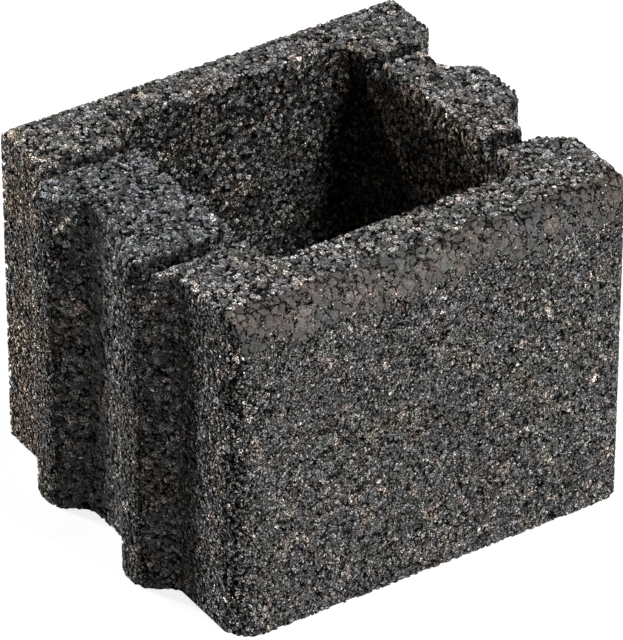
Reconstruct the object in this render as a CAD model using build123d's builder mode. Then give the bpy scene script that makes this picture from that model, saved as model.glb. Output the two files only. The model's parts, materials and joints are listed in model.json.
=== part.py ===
from build123d import *
import os

# Wall block cast in one piece from open-grained concrete, standing as it is laid.
# X runs along the wall, +Y goes into the wall and +Z is up, so the smooth face is at -Y.
# The origin is in the middle of the underside of the block's box, ribs included.

# Block, and how far its ends draw in from the back to the face
laying_width = 250.0
depth = 228.0
height = 200.0
end_taper = 2.0

# How much lower than the face the webs and the back stand
web_drop = 1.0
back_drop = 4.0

# Walls around the cavity at its top, and what each wall gains towards the bottom
face_wall = 42.0
back_wall = 26.0
rib_web = 50.0
groove_web = 46.0
cavity_face_corner = 9.0
cavity_back_corner = 14.0
cavity_draft = 2.0

# Ribs on the left end, with a bevel at the top
rib_height = 15.0
rib_root = 45.0
rib_nose = 19.0
rib_nose_round = 8.0
rib_root_round = 6.0
rib_pitch = 86.0
front_rib_from_face = 79.0
rib_bevel_depth = 5.0
rib_bevel_drop = 8.0

# Grooves on the right end, which take the ribs of the next block
groove_clearance = 4.0
groove_mouth_round = 3.0
groove_floor_round = 4.0

# Edges of the face
left_face_corner = 17.0
right_face_corner = 12.0
face_top_round = 16.0

# Slots across both webs, where the bars that carry the mould's core lay
slot_width = 13.0
slot_floor = 8.0
slot_depth = 9.0
face_slot_from_face = 71.0
back_slot_from_back = 51.0

# Places that follow from the sizes above
body_left = (rib_height - laying_width) / 2
body_right = body_left + laying_width
face_y = -depth / 2
back_y = depth / 2
front_rib_y = face_y + front_rib_from_face
back_rib_y = front_rib_y + rib_pitch
rib_nose_x = body_left - rib_height
groove_floor_x = body_right - rib_height - groove_clearance
groove_mouth = rib_root + 2 * groove_clearance
groove_floor = rib_nose + 2 * groove_clearance
face_slot_y = face_y + face_slot_from_face
back_slot_y = back_y - back_slot_from_back
web_top = height - web_drop
back_top = height - back_drop
# Cuts run past the surface that they cut by this much, and corners are picked within pick
overrun = 10.0
pick = 0.1


def left_end(y):
    return body_left + end_taper * (back_y - y) / depth


def right_end(y):
    return body_right - end_taper * (back_y - y) / depth


with BuildPart() as wall_block:
    # Plan of the block: ribs on the left, grooves of their section with clearance on the right
    with BuildSketch() as plan:
        outline = [(left_end(face_y), face_y), (right_end(face_y), face_y)]
        for rib_y in (front_rib_y, back_rib_y):
            outline += [
                (right_end(rib_y - groove_mouth / 2), rib_y - groove_mouth / 2),
                (groove_floor_x, rib_y - groove_floor / 2),
                (groove_floor_x, rib_y + groove_floor / 2),
                (right_end(rib_y + groove_mouth / 2), rib_y + groove_mouth / 2),
            ]
        outline += [(body_right, back_y), (body_left, back_y)]
        for rib_y in (back_rib_y, front_rib_y):
            outline += [
                (left_end(rib_y + rib_root / 2), rib_y + rib_root / 2),
                (rib_nose_x, rib_y + rib_nose / 2),
                (rib_nose_x, rib_y - rib_nose / 2),
                (left_end(rib_y - rib_root / 2), rib_y - rib_root / 2),
            ]
        with BuildLine():
            Polyline(*outline, close=True)
        make_face()
        # Rounded noses and roots of the ribs, and floors and mouths of the grooves
        for first_x, last_x, radius in (
            (rib_nose_x, rib_nose_x, rib_nose_round),
            (body_left, body_left + end_taper, rib_root_round),
            (groove_floor_x, groove_floor_x, groove_floor_round),
            (body_right - end_taper, body_right, groove_mouth_round),
        ):
            corners = plan.vertices().filter_by_position(Axis.Y, face_y + pick, back_y - pick)
            corners = corners.filter_by_position(Axis.X, first_x - pick, last_x + pick)
            fillet(corners, radius)
        # Upright corners of the face
        fillet(plan.vertices().group_by(Axis.Y)[0].sort_by(Axis.X)[0], left_face_corner)
        fillet(plan.vertices().group_by(Axis.Y)[0].sort_by(Axis.X)[-1], right_face_corner)
    extrude(amount=height)

    # Side profile taken off the top: the round edge of the face, then the lower webs and back
    with BuildSketch(Plane.YZ):
        with BuildLine():
            RadiusArc(
                (face_y, height - face_top_round),
                (face_y + face_top_round, height),
                face_top_round,
            )
            Polyline(
                (face_y + face_top_round, height),
                (face_slot_y, height),
                (face_slot_y, web_top),
                (back_slot_y, web_top),
                (back_slot_y, back_top),
                (back_y + overrun, back_top),
                (back_y + overrun, height + overrun),
                (face_y - overrun, height + overrun),
                (face_y - overrun, height - face_top_round),
                (face_y, height - face_top_round),
            )
        make_face()
    extrude(amount=laying_width, both=True, mode=Mode.SUBTRACT)

    # Slots across the webs, narrower at the floor
    with BuildSketch(Plane.YZ):
        for slot_y, slot_top in ((face_slot_y, web_top), (back_slot_y, back_top)):
            with BuildLine():
                Polyline(
                    (slot_y - slot_width / 2, height + overrun),
                    (slot_y - slot_width / 2, slot_top),
                    (slot_y - slot_floor / 2, slot_top - slot_depth),
                    (slot_y + slot_floor / 2, slot_top - slot_depth),
                    (slot_y + slot_width / 2, slot_top),
                    (slot_y + slot_width / 2, height + overrun),
                    close=True,
                )
            make_face()
    extrude(amount=laying_width, both=True, mode=Mode.SUBTRACT)

    # Bevels at the tops of the ribs
    with BuildSketch(Plane.XZ):
        with BuildLine():
            bevel_rate = rib_bevel_drop / rib_bevel_depth
            Polyline(
                (rib_nose_x - overrun, web_top - rib_bevel_drop - overrun * bevel_rate),
                (rib_nose_x + rib_bevel_depth, web_top),
                (rib_nose_x + rib_bevel_depth, height + overrun),
                (rib_nose_x - overrun, height + overrun),
                close=True,
            )
        make_face()
    extrude(amount=depth, both=True, mode=Mode.SUBTRACT)

    # Cavity from top to bottom, drafted so that the core draws out upwards
    for level, draft in ((0, cavity_draft), (height, 0)):
        with BuildSketch(Plane.XY.offset(level)) as mouth:
            with BuildLine():
                Polyline(
                    (body_left + rib_web + draft, face_y + face_wall + draft),
                    (body_right - groove_web - draft, face_y + face_wall + draft),
                    (body_right - groove_web - draft, back_y - back_wall - draft),
                    (body_left + rib_web + draft, back_y - back_wall - draft),
                    close=True,
                )
            make_face()
            fillet(mouth.vertices().group_by(Axis.Y)[0], cavity_face_corner)
            fillet(mouth.vertices().group_by(Axis.Y)[-1], cavity_back_corner)
    loft(mode=Mode.SUBTRACT)

wall_block.part.label = "wall_block"
os.makedirs("parts", exist_ok=True)
export_step(wall_block.part, "parts/wall_block.step")
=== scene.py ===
import json
import math

import bpy
from mathutils import Matrix, Vector, noise

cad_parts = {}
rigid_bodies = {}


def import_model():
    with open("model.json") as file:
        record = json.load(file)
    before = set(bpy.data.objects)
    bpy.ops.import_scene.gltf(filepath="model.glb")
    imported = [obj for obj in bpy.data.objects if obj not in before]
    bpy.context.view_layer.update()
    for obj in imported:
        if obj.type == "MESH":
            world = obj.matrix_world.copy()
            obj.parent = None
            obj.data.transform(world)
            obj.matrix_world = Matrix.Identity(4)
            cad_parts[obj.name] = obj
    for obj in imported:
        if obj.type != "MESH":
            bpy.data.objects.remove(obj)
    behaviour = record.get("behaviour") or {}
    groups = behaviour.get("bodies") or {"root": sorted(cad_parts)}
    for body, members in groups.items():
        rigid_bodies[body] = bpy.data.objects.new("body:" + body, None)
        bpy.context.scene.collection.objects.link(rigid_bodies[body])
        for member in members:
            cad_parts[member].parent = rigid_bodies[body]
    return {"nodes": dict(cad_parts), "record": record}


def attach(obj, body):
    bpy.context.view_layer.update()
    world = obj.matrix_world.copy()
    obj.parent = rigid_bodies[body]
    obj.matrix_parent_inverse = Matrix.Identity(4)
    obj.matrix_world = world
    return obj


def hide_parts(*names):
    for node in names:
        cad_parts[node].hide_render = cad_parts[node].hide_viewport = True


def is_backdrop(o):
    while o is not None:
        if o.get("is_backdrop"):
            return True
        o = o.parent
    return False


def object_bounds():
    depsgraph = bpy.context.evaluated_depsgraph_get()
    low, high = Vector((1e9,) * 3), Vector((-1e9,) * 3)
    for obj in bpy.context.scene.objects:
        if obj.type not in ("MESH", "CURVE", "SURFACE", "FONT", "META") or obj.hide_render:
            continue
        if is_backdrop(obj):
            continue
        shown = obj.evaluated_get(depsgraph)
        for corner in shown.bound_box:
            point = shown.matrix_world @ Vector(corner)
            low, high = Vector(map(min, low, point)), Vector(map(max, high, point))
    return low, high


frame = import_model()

# Wall block of dark open-grained concrete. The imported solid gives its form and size. Here it gets its
# broken surface: grains with voids between them, softened arrises, and the smeared paste along the
# round edge of the face. Lengths are in metres unless a name or a comment says mm.

cad_low, cad_high = (Vector(corner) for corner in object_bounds())

# Levels and places that the finish follows, from the block's box
TOP_Z = cad_high.z
FACE_Y = cad_low.y
BACK_Y = cad_high.y
MM = 0.001

# The same places in mm, for the patterns, which are all in mm
LEFT = 1000 * cad_low.x
FACE = 1000 * FACE_Y
TOP = 1000 * TOP_Z

# The cavity in plan, as far as its walls at the top, which the record's opening keeps clear of
opening = frame["record"]["physics"]["openings"][0]["box_m"]
wall_margin = Vector((7, 7, 0)) * MM
CAVITY = (Vector(opening[0]) - wall_margin, Vector(opening[1]) + wall_margin)
CAVITY_MM = tuple(1000 * corner for corner in CAVITY)

# The ribs along Y and the depth of their noses, and the middles, width and floor of the slots, in mm
RIBS = (-60.0, 76.0)
NOSE = 2.5
SLOTS = (-43.0, 63.0)
SLOT_WIDTH = 13.0
SLOT_FLOOR = 186.0

# Meshes that the finish starts from: the skin that stones are pressed flush with, and the paste
SKIN_VOXEL = 1.25 * MM
PASTE_VOXEL = 2.5 * MM
ARRIS_PASSES = 1

# Stones on each region, in mm: kind, spacing, least and most radius, share sunk, stretch upwards
REGIONS = {
    "stones_of_beds": ("round", 2.15, (0.9, 2.4), 0.42, 1.0),
    "stones_of_face": ("chip", 2.0, (0.9, 1.95), 0.25, 1.0),
    "stones_of_ribs": ("round", 2.2, (0.9, 2.5), 0.40, 1.3),
    "stones_of_rib_end": ("chip", 1.9, (0.8, 1.6), 0.25, 1.5),
    "stones_of_groove_end": ("chip", 2.4, (1.1, 1.9), 0.25, 1.5),
    "stones_of_back": ("chip", 2.4, (1.1, 1.9), 0.25, 1.2),
    "stones_of_cavity": ("chip", 2.75, (1.3, 2.3), 0.25, 1.2),
    "stones_of_underside": ("chip", 3.2, (1.5, 2.6), 0.25, 1.0),
}
# Stones before they are placed: how many shapes of each kind, how unevenly they broke, how much lower a
# chip is than it is wide before that, and their sides as shares of their radius
STONE_SHAPES = 9
UNEVEN = {"round": 0.5, "chip": 0.3}
CHIP_CROWN = 0.6
STONE_SIDES = (1.15, 0.9, 0.8)
# The most stones per square metre, times the square of their spacing in mm
STONE_DENSITY = 2.2e6
# Which way stretched stones stand, and how far in radians stones may tilt and turn, upright or any way
STAND = (0.0, 0.25, 1.0)
TILT = 0.5
TURN_UPRIGHT = 0.6
TURN_ANY = 3.14
# Seeds of the stones' shapes, places, turns, sizes and lots
SHAPE_SEED = 11
PLACE_SEED = 3
TURN_SEED = 31
SIZE_SEED = 32
LOT_SEED = 33

# The smeared paste on the round edge of the face: how far back and down it reaches, how ragged its border
# is, as a share and in waves per metre, and its plates and their cracks in mm
SMEAR = "smeared_edge"
EDGE_BACK = 15 * MM
EDGE_DOWN = 21 * MM
EDGE_RAGGED = 0.35
EDGE_WAVES = 90
SMEAR_LEVELS = 1
PLATE = 5.0
PLATE_CRACK = 0.12
# The fine grains of the face and the ends, and their cracks, in mm
GRAIN = 3.2
GRAIN_CRACK = 0.2
# How deep the paste lies behind the stones, at least and most, and how much deeper in a void, in mm
PASTE_DEPTH = (0.3, 1.1)
VOID_DEPTH = 2.0
# How deep the smeared paste lies at least, and how much deeper in a crack, by plate and by grain, in mm
SMEAR_DEPTH = 0.05
CRACK_DEPTH = 1.1
PLATE_STEP = 0.4
PLATE_GRAIN = 0.5
# How far the round edges of the face and the edges of the back reach into the block
FACE_ROUND = 16 * MM
BACK_STRIP = 8 * MM
# The least share of a normal that points up on a bed, forwards on the face and backwards on the back, and
# for the smeared edge the least forwards and the most sideways
UPWARDS = 0.6
FORWARDS = 0.5
BACKWARDS = 0.8
SMEAR_FORWARDS = 0.1
SMEAR_SIDEWAYS = 0.85

# Patterns per mm: open voids, specks, crumbs, grit, pale flecks and painted glints on the stones, and the
# stains, drift, bleached spots and layers of the whole block
VOIDS = 0.55
SPECKS = 0.95
CRUMBS = 1.3
GRIT = 0.8
FLECKS = 1.2
GLINT_SPOTS = 0.24
STAINS = 0.035
DRIFT = 0.09
BLEACHING = 0.085
LAYERS = 0.06

# Colours, as shares of the level that each stone or plate has by itself
CHARCOAL = (1.0, 0.98, 0.96, 1.0)
BROWN = (1.16, 1.05, 0.93, 1.0)
WARM = (1.32, 1.08, 0.86, 1.0)
BLEACHED = (2.5, 2.1, 1.85, 1.0)
PAINTED_SHEEN_BLUE = (0.76, 0.775, 0.8, 1.0)
BEIGE = (1.25, 1.03, 0.92, 1.0)
WHITE = (1.0, 1.0, 1.0, 1.0)

# Each finish: level of its darkest and palest specks, gloss, and height of its relief in mm
FINISHES = {
    "smeared": (0.6, 1.35, 0.05, 0.3),
    "coarse": (0.3, 1.8, 0.2, 0.4),
    "fine": (0.36, 1.95, 0.05, 0.6),
    "paste": (0.26, 1.8, 0.0, 0.5),
}

# Camera at the photograph's viewing angle, long enough to keep its weak perspective
CAMERA_PLACE = (-1.4504, -2.2159, 1.8909)
CAMERA_AZIMUTH = math.radians(-33.292)
CAMERA_ELEVATION = math.radians(34.116)
CAMERA_ROLL = math.radians(0.093)
CAMERA_REACH = 20.0
# The photograph's width and the lens's length, both in pixels of the photograph
PHOTO_WIDTH = 623
LENS_PIXELS = 6007.0
SENSOR = 36.0
LENS = LENS_PIXELS * SENSOR / PHOTO_WIDTH

# Lamps: name, azimuth from the face towards the right, elevation, level, width and height
LAMPS = (
    ("lamp_front_low", 15, 3, 0.65, 0.5, 0.3),
    ("lamp_front_high", 19, 45, 0.7, 0.6, 0.6),
    ("lamp_right_high", 60, 70, 0.22, 0.6, 0.6),
    ("lamp_behind_left_low", -152, 7, 1.4, 0.4, 0.5),
    ("lamp_behind_left_high", -150, 40, 0.24, 0.25, 0.25),
)
LAMP_DISTANCE = 3.0
LAMP_TARGET = Vector((0.0, 0.0, 0.1))
SKY_LEVEL = 0.02
FLOOR_SIZE = 12.0
FLOOR_GREY = (0.3, 0.3, 0.3, 1.0)
FLOOR_GLOW = 0.85


class Value:
    """One output of a node tree. Maths on it adds the Math nodes."""

    def __init__(self, graph, socket):
        self.graph = graph
        self.socket = socket

    def __add__(self, other):
        return self.graph.math("ADD", self, other)

    def __radd__(self, other):
        return self.graph.math("ADD", other, self)

    def __sub__(self, other):
        return self.graph.math("SUBTRACT", self, other)

    def __rsub__(self, other):
        return self.graph.math("SUBTRACT", other, self)

    def __mul__(self, other):
        return self.graph.math("MULTIPLY", self, other)

    def __rmul__(self, other):
        return self.graph.math("MULTIPLY", other, self)

    def __pow__(self, other):
        return self.graph.math("POWER", self, other)

    def __rpow__(self, other):
        return self.graph.math("POWER", other, self)

    def most(self, other):
        return self.graph.math("MAXIMUM", self, other)

    def size(self):
        return self.graph.math("ABSOLUTE", self)


class Graph:
    """Adds nodes to a shader tree or a geometry tree."""

    def __init__(self, tree):
        self.tree = tree

    def add(self, kind, settings=None, **inputs):
        """A node of this kind, its settings made first, and then the values or links of its sockets."""
        node = self.tree.nodes.new(kind)
        for name, value in (settings or {}).items():
            setattr(node, name, value)
        for name, value in inputs.items():
            self.fill(self.socket(node.inputs, name), value)
        return node

    def socket(self, sockets, name):
        """A socket by its name in lower case, with an underscore for a space, or by i and its number."""
        if name[0] == "i" and name[1:].isdigit():
            return sockets[int(name[1:])]
        for socket in sockets:
            if socket.enabled and socket.name.lower().replace(" ", "_") == name:
                return socket
        raise KeyError(name)

    def fill(self, socket, value):
        if isinstance(value, Value):
            self.tree.links.new(value.socket, socket)
        else:
            socket.default_value = value

    def out(self, node, name):
        return Value(self, self.socket(node.outputs, name))

    def math(self, operation, *values):
        node = self.add("ShaderNodeMath", {"operation": operation})
        for socket, value in zip(node.inputs, values):
            self.fill(socket, value)
        return Value(self, node.outputs[0])

    def vector(self, operation, *values, output="vector"):
        node = self.add("ShaderNodeVectorMath", {"operation": operation})
        for socket, value in zip([s for s in node.inputs if s.enabled], values):
            self.fill(socket, value)
        return self.out(node, output)

    def xyz(self, vector):
        node = self.add("ShaderNodeSeparateXYZ", vector=vector)
        return [Value(self, socket) for socket in node.outputs]

    def join(self, x, y, z):
        return self.out(self.add("ShaderNodeCombineXYZ", x=x, y=y, z=z), "vector")

    def alike(self, value):
        """A vector with this value three times, which scales a vector or a colour."""
        return self.join(value, value, value)

    def step(self, value, low, high):
        """0 below low, 1 above high and smooth between. With low above high it falls."""
        first, last = sorted((low, high))
        settings = {"interpolation_type": "SMOOTHSTEP"}
        node = self.add("ShaderNodeMapRange", settings, value=value, from_min=first, from_max=last)
        rise = self.out(node, "result")
        return rise if low < high else 1 - rise

    def band(self, value, rise, fall):
        """1 between the stretches rise and fall, each given by its two ends, and 0 outside them."""
        return self.step(value, *rise) * self.step(value, fall[1], fall[0])

    def blend(self, factor, first, second):
        """A colour between two colours."""
        node = self.add("ShaderNodeMix", {"data_type": "RGBA"}, factor=factor)
        sockets = [s for s in node.inputs if s.enabled and s.type == "RGBA"]
        self.fill(sockets[0], first)
        self.fill(sockets[1], second)
        return Value(self, [s for s in node.outputs if s.enabled][0])

    def between(self, factor, first, second):
        """A number between two numbers."""
        return first + (second - first) * factor

    def noise(self, vector, scale, detail=2.0, roughness=0.5, output="fac"):
        """Smooth noise from 0 to 1, as one number or as three in a colour."""
        settings = {"noise_dimensions": "3D"}
        node = self.add(
            "ShaderNodeTexNoise", settings, vector=vector, scale=scale, detail=detail, roughness=roughness
        )
        return self.out(node, output)

    def sway(self, vector, scale, roughness, amount):
        """A noise vector about 0, whose three parts differ and reach half of the parts of amount."""
        colour = self.noise(vector, scale, 3.0, roughness, output="color")
        return self.vector("MULTIPLY", self.vector("SUBTRACT", colour, (0.5, 0.5, 0.5)), amount)

    def cells(self, vector, scale, feature="F1"):
        return self.add("ShaderNodeTexVoronoi", {"feature": feature}, vector=vector, scale=scale)


def only(piece):
    """Selects this piece alone and makes it active."""
    bpy.ops.object.select_all(action="DESELECT")
    piece.select_set(True)
    bpy.context.view_layer.objects.active = piece


# Grain of the concrete, the same in the mesh and in the finish. Lengths here are in mm, and what changes
# with the place fades between the two ends that its step or band is given.


def millimetres(graph, place):
    return graph.vector("MULTIPLY", place, (1000.0, 1000.0, 1000.0))


def hollows(graph, mm):
    """1 in the open voids between the stones, which the pallet closed at the underside."""
    void = graph.step(graph.noise(mm, VOIDS, 2.0, 0.6), 0.605, 0.62)
    return void * graph.step(graph.xyz(mm)[2], 1.0, 4.0)


def plates(graph, mm, size, widest):
    """Paste that broke into plates: 1 in its cracks, open in places, and three random numbers a plate."""
    reach = 1.4 * size
    bend = graph.sway(mm, 1.1 / size, 0.5, (reach, reach, reach))
    bent = graph.vector("MULTIPLY", graph.vector("ADD", mm, bend), (1.0, 1.0, 0.7))
    border = graph.out(graph.cells(bent, 1 / size, "DISTANCE_TO_EDGE"), "distance")
    lots = graph.xyz(graph.out(graph.cells(bent, 1 / size), "color"))
    width = graph.between(graph.noise(mm, 1 / size, 3.0, 0.6), -widest, 1.5 * widest)
    return graph.step(border - width, 0.03, -0.01), lots


def glints(graph, mm):
    """Painted highlights: 1 on scattered glints under a millimetre across."""
    glint_cells = graph.cells(mm, GLINT_SPOTS)
    near = graph.step(graph.out(glint_cells, "distance"), 0.14, 0.08)
    return near * graph.step(graph.xyz(graph.out(glint_cells, "color"))[0], 0.3, 0.32)


def flecks(graph, mm):
    """1 on the small pale faces of broken stones."""
    return graph.step(graph.noise(mm, FLECKS, 2.0, 0.6), 0.56, 0.61)


def crumbs(graph, mm):
    """Level of the fine crumbs on the stones and their paste, which differ most on the ribbed end."""
    crumb = graph.step(graph.noise(mm, CRUMBS, 0.0), 0.38, 0.62)
    on_end = graph.step(graph.xyz(mm)[0], LEFT + 34, LEFT + 18)
    return graph.between(crumb, graph.between(on_end, 0.35, 0.1), graph.between(on_end, 1.7, 2.1))


def painted_slot_shade(graph, mm):
    """1 in the slots across the webs, which get painted shade, and less beside the cavity."""
    x, y, z = graph.xyz(mm)
    low, high = CAVITY_MM
    across = 0
    for middle in SLOTS:
        across = graph.step((y - middle).size(), SLOT_WIDTH / 2 + 0.7, SLOT_WIDTH / 2 - 0.7) + across
    near_cavity = graph.band(x, (low.x - 25, low.x), (high.x, high.x + 25))
    return graph.step(z, SLOT_FLOOR - 1, SLOT_FLOOR + 1) * across * (1 - near_cavity * 0.6)


def layers_and_painted_light(graph, mm, rear_left):
    """How pale the concrete is by its layers, with painted light and shade by where it is on the block.
    """
    x, y, z = graph.xyz(mm)
    low, high = CAVITY_MM
    layers = graph.noise(graph.vector("MULTIPLY", mm, (0.35, 0.35, 1.0)), LAYERS, 3.0, 0.6)
    # Painted light on the front-left round corner
    front_left = graph.step(x, LEFT + 32, LEFT + 20) * graph.step(y, FACE + 58, FACE + 52)
    # Painted light in the cavity
    in_cavity = graph.band(x, (low.x, low.x + 3), (high.x - 16, high.x - 12))
    in_cavity = in_cavity * graph.band(y, (low.y, low.y + 3), (high.y + 1, high.y + 3))
    # Painted shade in the recess between the ribs
    between_ribs = graph.step(x, LEFT + 24, LEFT + 20) * graph.step((y - sum(RIBS) / 2).size(), 24, 18)
    # Painted light on the bed along the face
    face_bed = graph.step(y, FACE + 46, FACE + 40) * graph.step(z, TOP - 3, TOP - 1)
    level = graph.between(layers, 0.65, 1.35)
    # The rear of the rib end is paler, and the places above get painted light or painted shade
    for place, share in (
        (rear_left.most(front_left), 1.4),
        (in_cavity, 1.35),
        (between_ribs, 0.6),
        (face_bed * graph.step(x, 30, -20), 1.12),
    ):
        level = level * graph.between(place, 1.0, share)
    return level


def concrete_colour(graph, mm):
    """Charcoal with a slight drift of colour, brown stains, a few bleached spots and a painted bluish
    sheen on the left web's top.
    """
    x, y, z = graph.xyz(mm)
    low, high = CAVITY_MM
    patches = graph.noise(mm, STAINS, 4.0, 0.6)
    # The rear of the rib end and the cavity's right wall are browner, and the left web's top has a
    # painted bluish sheen
    wander = (graph.noise(mm, 0.06, 3.0, 0.6) - 0.5) * 80.0
    rear_left = graph.step(x + wander, LEFT + 36, LEFT + 12) * graph.step(y + wander, 30, 80)
    right_wall = graph.band(x, (high.x - 12, high.x - 4), (high.x, high.x + 3))
    right_wall = right_wall * graph.band(y, (low.y - 2, low.y + 2), (high.y - 3, high.y))
    warm = rear_left.most(right_wall) * graph.step(patches, 0.38, 0.55)
    # Painted reflection: a bluish sheen on the left web's top
    painted_sheen_on_web_top = graph.step(x, -52, -60) * graph.band(y, (-54, -50), (52, 56)) * graph.step(z, 186, 190)
    bleached = graph.step(graph.noise(mm, BLEACHING, 3.0, 0.6), 0.585, 0.635)
    bleached = bleached * graph.step(graph.noise(mm, 0.5, 3.0, 0.6), 0.42, 0.52)
    colour = graph.blend(graph.step(patches, 0.5, 0.66), CHARCOAL, BROWN)
    colour = graph.blend(warm, colour, WARM)
    colour = graph.blend(bleached * 0.9, colour, BLEACHED)
    colour = graph.blend(painted_sheen_on_web_top, colour, PAINTED_SHEEN_BLUE)
    drift = graph.vector("ADD", graph.sway(mm, DRIFT, 0.6, (0.3, 0.2, 0.35)), (1.0, 1.0, 1.0))
    colour = graph.vector("MULTIPLY", colour, drift)
    return graph.vector("MULTIPLY", colour, graph.alike(layers_and_painted_light(graph, mm, rear_left)))


def stone_level(graph, levels, white, sunk, deep_shade):
    """Level of each stone: a random one, paler for the few whose lot is past white, with painted shade
    when sunk deep.
    """
    lot = graph.xyz(graph.out(graph.add("ShaderNodeAttribute", {"attribute_name": "lot"}), "vector"))
    deep = graph.out(graph.add("ShaderNodeAttribute", {"attribute_name": "deep"}), "fac")
    level = graph.between(lot[0] ** 2.0, *levels)
    level = level * graph.between(graph.step(lot[1], white, white + 0.01), 1.0, 2.5)
    # Painted shade: stones that lie sunk deep in the gaps between others are darkened
    return level * graph.between(graph.step(deep, *sunk), 1.0, deep_shade)


def coarse_stones(graph, mm):
    """Level of the round stones of the beds and the ribs, with pale faces where they broke."""
    level = stone_level(graph, (0.06, 0.4), 0.98, (0.3, 1.1), 0.02)
    return level * graph.between(flecks(graph, mm), 0.82, 2.0)


def fine_stones(graph, mm):
    """Level of the stones of the walls, with painted shade in the voids and cracks between their grains.
    """
    level = stone_level(graph, (0.08, 0.295), 0.975, (0.35, 1.2), 0.06)
    crack = plates(graph, mm, GRAIN, GRAIN_CRACK)[0]
    # Painted shade: near black in the open voids and the cracks between grains
    return level * graph.between(hollows(graph, mm).most(crack), 1.0, 0.04)


def sunk_paste(graph, mm):
    """Paste: dark as painted shade in the gaps between stones, palest at the face and on the rib end
    below its top.
    """
    x, y, z = graph.xyz(mm)
    at_face = graph.step(y, FACE + 6, FACE + 3)
    at_end = graph.step(x, LEFT + 19, LEFT + 17) * graph.step(z, TOP - 3, TOP - 6)
    crack = plates(graph, mm, GRAIN, GRAIN_CRACK)[0]
    # Painted shade: the paste in the gaps is kept near black, paler at the face and on the rib end
    level = graph.between(at_face.most(at_end), 0.035, 0.11)
    # Painted shade: near black in the open voids and the cracks
    return level * graph.between(hollows(graph, mm).most(crack), 1.0, 0.02)


def smeared_paste(graph, mm, colour, relief):
    """Level, colour and relief of the smeared paste, whose plates differ and are beige in places, with
    painted shade in its cracks.
    """
    crack, lots = plates(graph, mm, PLATE, PLATE_CRACK)
    # Painted shade: near black in the cracks between plates
    level = graph.between(lots[0], 0.08, 0.132) * graph.between(crack, 1.0, 0.03)
    level = level * graph.between(graph.step(graph.xyz(mm)[0], 40, 90), 1.0, 0.88)
    beige = graph.step(graph.noise(mm, 0.028, 3.0), 0.4, 0.62) * graph.between(lots[1], 0.4, 1.0)
    return level, graph.blend(beige, colour, BEIGE), relief - crack * 2.0


def new_material(name):
    """An empty material and the graph of its nodes."""
    material = bpy.data.materials.new(name)
    material.use_nodes = True
    material.node_tree.nodes.clear()
    return material, Graph(material.node_tree)


def block_finish(name, kind):
    """Concrete: coarse or fine stones, the cement paste that they lie in, or paste that was smeared."""
    material, graph = new_material(name)
    mm = millimetres(graph, graph.out(graph.add("ShaderNodeTexCoord"), "object"))
    darkest, palest, gloss, height = FINISHES[kind]
    speck = graph.step(graph.noise(mm, SPECKS, 2.0, 0.7), 0.36, 0.66)
    relief = speck * 0.7 + graph.noise(mm, GRIT, 4.0, 0.65)
    colour = concrete_colour(graph, mm)
    if kind == "smeared":
        level, colour, relief = smeared_paste(graph, mm, colour, relief)
    else:
        levels = {"coarse": coarse_stones, "fine": fine_stones, "paste": sunk_paste}
        level = levels[kind](graph, mm) * crumbs(graph, mm)
    # Painted shade darkens the slots across the webs
    level = level * graph.between(speck, darkest, palest) * graph.between(painted_slot_shade(graph, mm), 1.0, 0.22)
    # Painted highlights: small white glints added to the level
    level = level + glints(graph, mm) * 0.5
    bump = graph.add("ShaderNodeBump", strength=1.0, distance=height * MM, height=relief)
    shader = graph.add(
        "ShaderNodeBsdfPrincipled",
        base_color=graph.vector("MULTIPLY", colour, graph.alike(level)),
        roughness=graph.between(speck, 0.8, 0.45),
        specular_ior_level=gloss,
        normal=graph.out(bump, "normal"),
    )
    graph.add("ShaderNodeOutputMaterial", surface=graph.out(shader, "bsdf"))
    return material


# Shapes of the block's surface, in metres


def region_of(middle, normal):
    """The name in REGIONS of the surface at this point of the block, or SMEAR."""
    low, high = CAVITY
    ragged = 1 + EDGE_RAGGED * noise.noise(middle * EDGE_WAVES)
    at_edge = middle.y < FACE_Y + EDGE_BACK * ragged and middle.z > TOP_Z - EDGE_DOWN * ragged
    if at_edge and normal.y < -SMEAR_FORWARDS and abs(normal.x) < SMEAR_SIDEWAYS:
        return SMEAR
    if normal.z > UPWARDS:
        return "stones_of_beds"
    if normal.z < -UPWARDS:
        return "stones_of_underside"
    if low.x < middle.x < high.x and low.y < middle.y < high.y:
        return "stones_of_cavity"
    if middle.y < FACE_Y + FACE_ROUND and normal.y < -FORWARDS:
        return "stones_of_face"
    if normal.y > BACKWARDS and middle.y > BACK_Y - BACK_STRIP:
        return "stones_of_back"
    if middle.x > 0:
        return "stones_of_groove_end"
    at_ribs = RIBS[0] < 1000 * middle.y < RIBS[1] and middle.x > cad_low.x + NOSE * MM
    return "stones_of_ribs" if at_ribs else "stones_of_rib_end"


def stone_shapes(kind):
    """Crushed stones of a few shapes, about 1 unit in radius: round ones, or chips with a low crown."""
    group = bpy.data.collections.new(kind + "_stones")
    bpy.context.scene.collection.children.link(group)
    for number in range(STONE_SHAPES):
        if kind == "round":
            bpy.ops.mesh.primitive_ico_sphere_add(subdivisions=1, radius=1.0)
        else:
            bpy.ops.mesh.primitive_uv_sphere_add(segments=5 + number % 3, ring_count=2, radius=1.0)
        stone = bpy.context.view_layer.objects.active
        stone.name = f"{kind}_{number}"
        only(stone)
        bpy.ops.object.mode_set(mode="EDIT")
        bpy.ops.mesh.select_all(action="SELECT")
        if kind == "chip":
            bpy.ops.transform.resize(value=(1.0, 1.0, CHIP_CROWN))
        bpy.ops.transform.vertex_random(offset=UNEVEN[kind], seed=SHAPE_SEED + number)
        bpy.ops.transform.resize(value=STONE_SIDES)
        bpy.ops.object.mode_set(mode="OBJECT")
        if kind == "round" and number % 3:
            bpy.ops.object.shade_smooth()
        for other in stone.users_collection:
            other.objects.unlink(stone)
        group.objects.link(stone)
    return group


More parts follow.
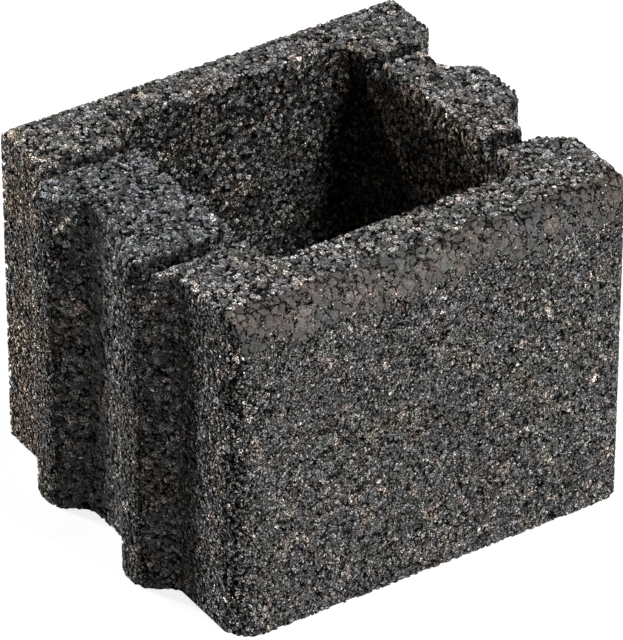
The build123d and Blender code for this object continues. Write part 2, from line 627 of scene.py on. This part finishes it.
def start_tree(name):
    """The graph of new geometry nodes, and the mesh that comes into them."""
    tree = bpy.data.node_groups.new(name, "GeometryNodeTree")
    for way in ("INPUT", "OUTPUT"):
        tree.interface.new_socket("Geometry", in_out=way, socket_type="NodeSocketGeometry")
    graph = Graph(tree)
    return graph, graph.out(graph.add("NodeGroupInput"), "geometry")


def end_tree(graph, mesh):
    """The geometry nodes of this graph, with this mesh as what they give."""
    graph.add("NodeGroupOutput", i0=mesh)
    return graph.tree


def position(graph):
    return graph.out(graph.add("GeometryNodeInputPosition"), "position")


def surface_normal(graph):
    return graph.out(graph.add("GeometryNodeInputNormal"), "normal")


def in_region(graph, region):
    """Whether a face has this region's mark."""
    mark = graph.add("GeometryNodeInputNamedAttribute", {"data_type": "INT"}, name="region")
    settings = {"data_type": "INT", "operation": "EQUAL"}
    same = graph.add("FunctionNodeCompare", settings, a=graph.out(mark, "attribute"), b=region)
    return graph.out(same, "result")


def random_value(graph, kind, seed, **limits):
    node = graph.add("FunctionNodeRandomValue", {"data_type": kind}, seed=seed, **limits)
    return graph.out(node, "value")


def moved(graph, mesh, way, far):
    """A mesh whose points are moved this far along these ways."""
    offset = graph.vector("MULTIPLY", way, graph.alike(far))
    return graph.out(graph.add("GeometryNodeSetPosition", geometry=mesh, offset=offset), "geometry")


def stored(graph, mesh, name, kind, domain, value):
    """A mesh that keeps a value under a name."""
    settings = {"data_type": kind, "domain": domain}
    node = graph.add("GeometryNodeStoreNamedAttribute", settings, geometry=mesh, name=name, value=value)
    return graph.out(node, "geometry")


def pressed_flush(graph, stones, skin):
    """Stones pressed back on to the skin where they stood out past the mould, with how deep they lie."""
    place = position(graph)
    near = graph.add("GeometryNodeProximity", {"target_element": "FACES"}, i0=skin)
    nearest = graph.out(near, "position")
    met = graph.add(
        "GeometryNodeSampleNearestSurface",
        {"data_type": "FLOAT_VECTOR"},
        mesh=skin,
        value=surface_normal(graph),
        sample_position=place,
    )
    way_out = graph.vector("SUBTRACT", place, nearest)
    out_by = graph.vector("DOT_PRODUCT", way_out, graph.out(met, "value"), output="value")
    proud = graph.math("GREATER_THAN", out_by, 0.0)
    pressed = graph.add("GeometryNodeSetPosition", geometry=stones, selection=proud, position=nearest)
    depth = (0 - out_by).most(0.0) * 1000.0
    return stored(graph, graph.out(pressed, "geometry"), "deep", "FLOAT", "POINT", depth)


def scatter_tree(group, region, spacing, radius, sink, stretch):
    """Geometry nodes that put stones on one region of the skin and press them flush with it."""
    graph, skin = start_tree("scattered_stones")
    spread = graph.add(
        "GeometryNodeDistributePointsOnFaces",
        {"distribute_method": "POISSON"},
        mesh=skin,
        selection=in_region(graph, region),
        distance_min=spacing * MM,
        density_max=STONE_DENSITY / spacing ** 2,
        seed=region + PLACE_SEED,
    )
    normal = graph.out(spread, "normal")
    in_void = graph.math("GREATER_THAN", hollows(graph, millimetres(graph, position(graph))), 0.5)
    kept = graph.add(
        "GeometryNodeDeleteGeometry",
        {"domain": "POINT"},
        geometry=graph.out(spread, "points"),
        selection=in_void,
    )
    # Stones lie flat on the skin. Those that are stretched stand more or less upright, and others any way
    flat = graph.add("FunctionNodeAlignRotationToVector", {"axis": "Z"}, vector=normal)
    upright = graph.add(
        "FunctionNodeAlignRotationToVector",
        {"axis": "Y", "pivot_axis": "Z"},
        rotation=graph.out(flat, "rotation"),
        vector=STAND,
    )
    turn = TURN_UPRIGHT if stretch > 1 else TURN_ANY
    low, high = (-TILT, -TILT, -turn), (TILT, TILT, turn)
    turned = graph.add(
        "FunctionNodeRotateRotation",
        {"rotation_space": "LOCAL"},
        rotation=graph.out(upright, "rotation"),
        rotate_by=random_value(graph, "FLOAT_VECTOR", TURN_SEED, min=low, max=high),
    )
    least, most = radius
    size = random_value(graph, "FLOAT", SIZE_SEED, min=least * MM, max=most * MM)
    shapes = graph.add(
        "GeometryNodeCollectionInfo", collection=group, separate_children=True, reset_children=True
    )
    placed = graph.add(
        "GeometryNodeInstanceOnPoints",
        points=moved(graph, graph.out(kept, "geometry"), normal, 0 - size * sink),
        instance=graph.out(shapes, "instances"),
        pick_instance=True,
        rotation=graph.out(turned, "rotation"),
        scale=graph.join(size, size * stretch, size),
    )
    lot = random_value(graph, "FLOAT_VECTOR", LOT_SEED)
    marked = stored(graph, graph.out(placed, "instances"), "lot", "FLOAT_VECTOR", "INSTANCE", lot)
    stones = graph.out(graph.add("GeometryNodeRealizeInstances", geometry=marked), "geometry")
    return end_tree(graph, pressed_flush(graph, stones, skin))


def paste_tree():
    """Geometry nodes that sink the skin to where the paste lies behind the stones."""
    graph, skin = start_tree("sunk_paste")
    mm = millimetres(graph, position(graph))
    y, z = graph.xyz(mm)[1:]
    at_face = graph.step(y, FACE + 5, FACE + 2) * graph.step(z, 172.0, 166.0)
    at_foot = graph.step(z, 4.0, 1.0)
    sunk = graph.between(at_face, 1.0, 0.55) * graph.between(at_foot, 1.0, 0.1)
    depth = 0 - graph.between(graph.noise(mm, 0.25, 2.0), *PASTE_DEPTH) * sunk * MM
    depth = depth - hollows(graph, mm) * VOID_DEPTH * MM
    return end_tree(graph, moved(graph, skin, surface_normal(graph), depth))


def smear_tree(region):
    """Geometry nodes that take one region of the skin and break it into plates."""
    graph, skin = start_tree("broken_plates")
    marked = in_region(graph, region)
    part = graph.add("GeometryNodeSeparateGeometry", {"domain": "FACE"}, i0=skin, i1=marked)
    edge = Value(graph, part.outputs[0])
    finer = graph.add("GeometryNodeSubdivisionSurface", i0=edge, level=SMEAR_LEVELS)
    mm = millimetres(graph, position(graph))
    crack, lots = plates(graph, mm, PLATE, PLATE_CRACK)
    depth = SMEAR_DEPTH + crack * CRACK_DEPTH + lots[2] * PLATE_STEP
    depth = depth + graph.noise(mm, 0.5, 2.0) * PLATE_GRAIN
    sunk = moved(graph, Value(graph, finer.outputs[0]), surface_normal(graph), (0 - depth) * MM)
    return end_tree(graph, sunk)


def own_copy(source, name):
    """A copy of a piece with its own mesh."""
    only(source)
    bpy.ops.object.duplicate()
    piece = bpy.context.view_layer.objects.active
    piece.name = name
    return piece


def shape_by_nodes(piece, tree):
    """Applies geometry nodes to a piece."""
    only(piece)
    modifier = piece.modifiers.new(tree.name, "NODES")
    modifier.node_group = tree
    bpy.ops.object.modifier_apply(modifier=modifier.name)


def dress(piece, material):
    """The finish and the place of a piece of the block."""
    piece.data.materials.clear()
    piece.data.materials.append(material)
    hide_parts("wall_block")
    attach(piece, "root")


def make_skin(name, voxel, passes):
    """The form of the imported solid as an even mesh, its arrises softened by this many passes."""
    skin = own_copy(frame["nodes"]["wall_block"], name)
    bpy.ops.object.parent_clear(type="CLEAR_KEEP_TRANSFORM")
    bpy.ops.object.mode_set(mode="EDIT")
    bpy.ops.mesh.select_all(action="SELECT")
    bpy.ops.mesh.remove_doubles(threshold=0.01 * MM)
    bpy.ops.object.mode_set(mode="OBJECT")
    remesh = skin.modifiers.new("even_mesh", "REMESH")
    remesh.mode = "VOXEL"
    remesh.voxel_size = voxel
    soften = skin.modifiers.new("soft_arrises", "SMOOTH")
    soften.factor = 0.5
    soften.iterations = passes
    for modifier in list(skin.modifiers):
        bpy.ops.object.modifier_apply(modifier=modifier.name)
    return skin


def make_block():
    """The cast block: cement paste with crushed stones in it, flush with the mould."""
    skin = make_skin("skin", SKIN_VOXEL, ARRIS_PASSES)
    paste = make_skin("cement_paste", PASTE_VOXEL, 0)
    names = [*REGIONS, SMEAR]
    marks = skin.data.attributes.new("region", "INT", "FACE")
    for face, mark in zip(skin.data.polygons, marks.data):
        mark.value = names.index(region_of(face.center, face.normal))
    groups = {kind: stone_shapes(kind) for kind in ("round", "chip")}
    finishes = {
        "chip": block_finish("fine_stones", "fine"),
        "round": block_finish("coarse_stones", "coarse"),
    }
    for number, (name, sizes) in enumerate(REGIONS.items()):
        kind, spacing, radius, sink, stretch = sizes
        grains = own_copy(skin, name)
        shape_by_nodes(grains, scatter_tree(groups[kind], number, spacing, radius, sink, stretch))
        dress(grains, finishes[kind])
    edge = own_copy(skin, SMEAR)
    shape_by_nodes(edge, smear_tree(names.index(SMEAR)))
    bpy.ops.object.shade_smooth()
    dress(edge, block_finish("smeared_paste", "smeared"))
    shape_by_nodes(paste, paste_tree())
    bpy.ops.object.shade_smooth()
    dress(paste, block_finish("paste", "paste"))
    bpy.data.objects.remove(skin)
    for group in groups.values():
        for stone in list(group.objects):
            bpy.data.objects.remove(stone)
        bpy.data.collections.remove(group)


def seen_directly(graph):
    """1 for what the camera, a gloss or glass shows, and 0 for the light that falls on the block."""
    rays = graph.add("ShaderNodeLightPath")
    seen = graph.out(rays, "is_camera_ray").most(graph.out(rays, "is_glossy_ray"))
    return seen.most(graph.out(rays, "is_transmission_ray"))


def make_floor():
    """A plain pale floor that shows white and keeps the block's shadow."""
    bpy.ops.mesh.primitive_plane_add(size=FLOOR_SIZE, location=(0, 0, cad_low.z))
    floor = bpy.context.view_layer.objects.active
    floor.name = "floor"
    material, graph = new_material("floor_white")
    paint = graph.add("ShaderNodeBsdfDiffuse", color=FLOOR_GREY)
    glow = graph.add("ShaderNodeEmission", color=WHITE, strength=seen_directly(graph) * FLOOR_GLOW)
    both = graph.add("ShaderNodeAddShader", i0=graph.out(paint, "bsdf"), i1=graph.out(glow, "emission"))
    graph.add("ShaderNodeOutputMaterial", surface=graph.out(both, "shader"))
    floor.data.materials.append(material)
    floor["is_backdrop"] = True


def way_to(azimuth, elevation):
    """The way from the block to something at this azimuth from the face and this elevation."""
    level = math.cos(elevation)
    return Vector((math.sin(azimuth) * level, -math.cos(azimuth) * level, math.sin(elevation)))


def make_lamps():
    """Soft studio light: from the front, low and high, from above, and from behind on the left."""
    for name, azimuth, elevation, level, width, height in LAMPS:
        data = bpy.data.lights.new(name, "AREA")
        data.shape = "RECTANGLE"
        data.size = width
        data.size_y = height
        data.energy = level * math.pi ** 2 * LAMP_DISTANCE ** 2
        lamp = bpy.data.objects.new(name, data)
        bpy.context.scene.collection.objects.link(lamp)
        way = way_to(math.radians(azimuth), math.radians(elevation))
        lamp.location = LAMP_TARGET + LAMP_DISTANCE * way
        lamp.rotation_euler = (LAMP_TARGET - lamp.location).to_track_quat("-Z", "Y").to_euler()


def make_studio():
    """A world that shows white and adds a little light from all around."""
    world = bpy.data.worlds.new("studio")
    bpy.context.scene.world = world
    world.use_nodes = True
    world.node_tree.nodes.clear()
    graph = Graph(world.node_tree)
    strength = graph.between(seen_directly(graph), SKY_LEVEL, 1.0)
    sky = graph.add("ShaderNodeBackground", color=WHITE, strength=strength)
    graph.add("ShaderNodeOutputWorld", surface=graph.out(sky, "background"))


def make_camera():
    """The photograph's camera. Its back is its local Z, and the roll turns it about that."""
    data = bpy.data.cameras.new("camera")
    data.sensor_fit = "HORIZONTAL"
    data.sensor_width = SENSOR
    data.lens = LENS
    data.clip_end = CAMERA_REACH
    camera = bpy.data.objects.new("camera", data)
    bpy.context.scene.collection.objects.link(camera)
    back = way_to(CAMERA_AZIMUTH, CAMERA_ELEVATION)
    right = (-back).cross(Vector((0, 0, 1))).normalized()
    up = right.cross(-back)
    side = math.cos(CAMERA_ROLL) * right + math.sin(CAMERA_ROLL) * up
    head = math.cos(CAMERA_ROLL) * up - math.sin(CAMERA_ROLL) * right
    turn = Matrix((side, head, back)).transposed().to_4x4()
    camera.matrix_world = Matrix.Translation(CAMERA_PLACE) @ turn
    bpy.context.scene.camera = camera


make_block()
make_floor()
make_lamps()
make_studio()
make_camera()
bpy.context.scene.view_settings.view_transform = "Standard"
